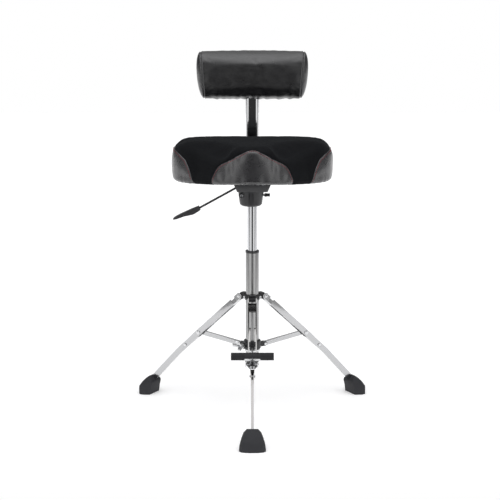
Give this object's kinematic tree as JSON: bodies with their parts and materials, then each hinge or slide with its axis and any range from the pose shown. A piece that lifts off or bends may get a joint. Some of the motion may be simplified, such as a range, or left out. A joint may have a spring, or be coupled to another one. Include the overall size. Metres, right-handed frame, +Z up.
{
  "type": "drum throne",
  "caption": "Drum throne with a moto-style seat, bolster backrest, lever-operated gas lift, footrest and folding tripod with rubber feet.",
  "frame": {"origin": "centre of the bounding box in plan, on the floor under the feet", "axes": "+Z up; the drummer faces -Y, towards the front leg and footrest; +X is to the right of someone looking along +Y"},
  "size_m": [0.6968, 0.6576, 1.05],
  "materials": {
    "chrome": "polished",
    "black_casting": "satin",
    "black_plastic": "satin",
    "steel": "satin",
    "foot_rubber": "matte",
    "bar_rubber": "matte",
    "seat_foam": "matte",
    "pad_foam": "satin",
    "black_leather": "satin",
    "plywood": "matte"
  },
  "bodies": {
    "column": {"column_tube": "chrome", "column_bushing": "black_plastic", "upper_collar": "black_casting", "collar_screws": "chrome", "leg_pivot_pins": "chrome", "stop_ring": "chrome", "base_plug": "black_plastic", "thrust_bearing": "steel"},
    "piston": {"piston_rod": "steel", "rod_clip": "steel"},
    "seat": {"gas_cylinder": "chrome", "mechanism_housing": "black_plastic", "mounting_plate": "black_casting", "mounting_bolts": "steel", "housing_bolt": "steel", "lever_pivot_pin": "steel", "seat_board": "plywood", "seat_tee_nuts": "steel", "seat_cushion": "seat_foam", "backrest_receiver": "black_casting"},
    "release_pin": {"release_pin": "steel"},
    "lever": {"lever_rod": "black_casting", "lever_handle": "black_plastic"},
    "tension_knob": {"tension_knob": "black_casting"},
    "backrest_post": {"backrest_post": "chrome", "post_cap": "black_plastic"},
    "depth_knob": {"depth_knob": "black_plastic"},
    "height_carrier": {"height_carrier": "black_casting", "tilt_pin": "steel"},
    "height_knob": {"height_knob": "black_plastic"},
    "backrest": {"backrest_bracket": "black_casting", "backrest_board": "plywood", "backrest_screws": "steel", "backrest_pad": "pad_foam"},
    "lower_collar": {"lower_collar": "black_casting", "brace_pivot_pins": "chrome"},
    "wing_bolt": {"wing_bolt": "chrome"},
    "footrest": {"footrest_bracket": "chrome", "footrest_bar": "steel", "footrest_sleeve": "bar_rubber"},
    "leg_front": {"leg_front": "chrome", "leg_rivets_front": "chrome", "foot_front": "foot_rubber", "footrest_bolt": "chrome"},
    "brace_front": {"brace_front": "chrome", "brace_bush_front": "steel"},
    "leg_rear_left": {"leg_rear_left": "chrome", "leg_rivets_rear_left": "chrome", "foot_rear_left": "foot_rubber"},
    "brace_rear_left": {"brace_rear_left": "chrome", "brace_bush_rear_left": "steel"},
    "leg_rear_right": {"leg_rear_right": "chrome", "leg_rivets_rear_right": "chrome", "foot_rear_right": "foot_rubber"},
    "brace_rear_right": {"brace_rear_right": "chrome", "brace_bush_rear_right": "steel"}
  },
  "joints": [
    {"name": "seat_swivel", "type": "hinge", "parent": "column", "child": "piston", "pos_m": [0, 0.0608, 0.17], "axis": [0, 0, 1], "continuous": true},
    {"name": "seat_lift", "type": "slide", "parent": "piston", "child": "seat", "axis": [0, 0, 1], "range_m": [-0.125, 0]},
    {"name": "release_lever", "type": "hinge", "parent": "seat", "child": "lever", "pos_m": [-0.036, 0.0608, 0.674], "axis": [0, 1, 0], "range_deg": [0, 8], "stiffness_Nm_per_rad": 3, "springref_deg": -14.32},
    {"name": "release_pin_travel", "type": "slide", "parent": "seat", "child": "release_pin", "axis": [0, 0, -1], "range_m": [0, 0.0053]},
    {"name": "tension_knob_turn", "type": "hinge", "parent": "seat", "child": "tension_knob", "pos_m": [0.045, 0.0608, 0.647], "axis": [1, 0, 0], "range_deg": [0, 720]},
    {"name": "backrest_depth", "type": "slide", "parent": "seat", "child": "backrest_post", "axis": [0, 1, 0], "range_m": [0, 0.04]},
    {"name": "depth_knob_turn", "type": "hinge", "parent": "seat", "child": "depth_knob", "pos_m": [0.035, 0.1728, 0.673], "axis": [1, 0, 0], "range_deg": [-720, 0]},
    {"name": "backrest_height", "type": "slide", "parent": "backrest_post", "child": "height_carrier", "axis": [0, 0, 1], "range_m": [-0.05, 0.025]},
    {"name": "height_knob_turn", "type": "hinge", "parent": "height_carrier", "child": "height_knob", "pos_m": [0, 0.3108, 0.975], "axis": [0, 1, 0], "range_deg": [-720, 0]},
    {"name": "backrest_tilt", "type": "hinge", "parent": "height_carrier", "child": "backrest", "pos_m": [0, 0.2658, 0.975], "axis": [1, 0, 0], "range_deg": [-12, 12]},
    {"name": "leg_fold", "type": "hinge", "parent": "column", "child": "leg_front", "pos_m": [0, 0.0218, 0.345], "axis": [1, 0, 0], "range_deg": [0, 39.7]},
    {"name": "leg_fold_rear_left", "type": "hinge", "parent": "column", "child": "leg_rear_left", "pos_m": [-0.03377, 0.0803, 0.345], "axis": [-0.5, -0.866, 0], "range_deg": [0, 39.7]},
    {"name": "leg_fold_rear_right", "type": "hinge", "parent": "column", "child": "leg_rear_right", "pos_m": [0.03377, 0.0803, 0.345], "axis": [-0.5, 0.866, 0], "range_deg": [0, 39.7]},
    {"name": "collar_slide", "type": "slide", "parent": "column", "child": "lower_collar", "axis": [0, 0, 1], "range_m": [0, 0.0945]},
    {"name": "wing_bolt_turn", "type": "hinge", "parent": "lower_collar", "child": "wing_bolt", "pos_m": [-0.03344, 0.03069, 0.203], "axis": [-0.7431, -0.6691, 0], "range_deg": [-180, 180]},
    {"name": "footrest_turn", "type": "hinge", "parent": "leg_front", "child": "footrest", "pos_m": [0, -0.15053, 0.18819], "axis": [0, -0.673, 0.7396], "range_deg": [-90, 90]},
    {"name": "brace_turn_front", "type": "hinge", "parent": "lower_collar", "child": "brace_front", "pos_m": [0, 0.0198, 0.1995], "axis": [1, 0, 0], "range_deg": [0, 86.86]},
    {"name": "brace_turn_rear_left", "type": "hinge", "parent": "lower_collar", "child": "brace_rear_left", "pos_m": [-0.03551, 0.0813, 0.1995], "axis": [-0.5, -0.866, 0], "range_deg": [0, 86.86]},
    {"name": "brace_turn_rear_right", "type": "hinge", "parent": "lower_collar", "child": "brace_rear_right", "pos_m": [0.03551, 0.0813, 0.1995], "axis": [-0.5, 0.866, 0], "range_deg": [0, 86.86]}
  ],
  "couplings": [
    {"joint": "release_pin_travel", "follows": "release_lever", "m_per_rad": 0.037242},
    {"joint": "leg_fold_rear_left", "follows": "leg_fold", "ratio": 1},
    {"joint": "leg_fold_rear_right", "follows": "leg_fold", "ratio": 1},
    {"joint": "collar_slide", "follows": "leg_fold", "m_per_rad": 0.13636},
    {"joint": "brace_turn_front", "follows": "leg_fold", "ratio": 2.1877},
    {"joint": "brace_turn_rear_left", "follows": "leg_fold", "ratio": 2.1877},
    {"joint": "brace_turn_rear_right", "follows": "leg_fold", "ratio": 2.1877}
  ]
}
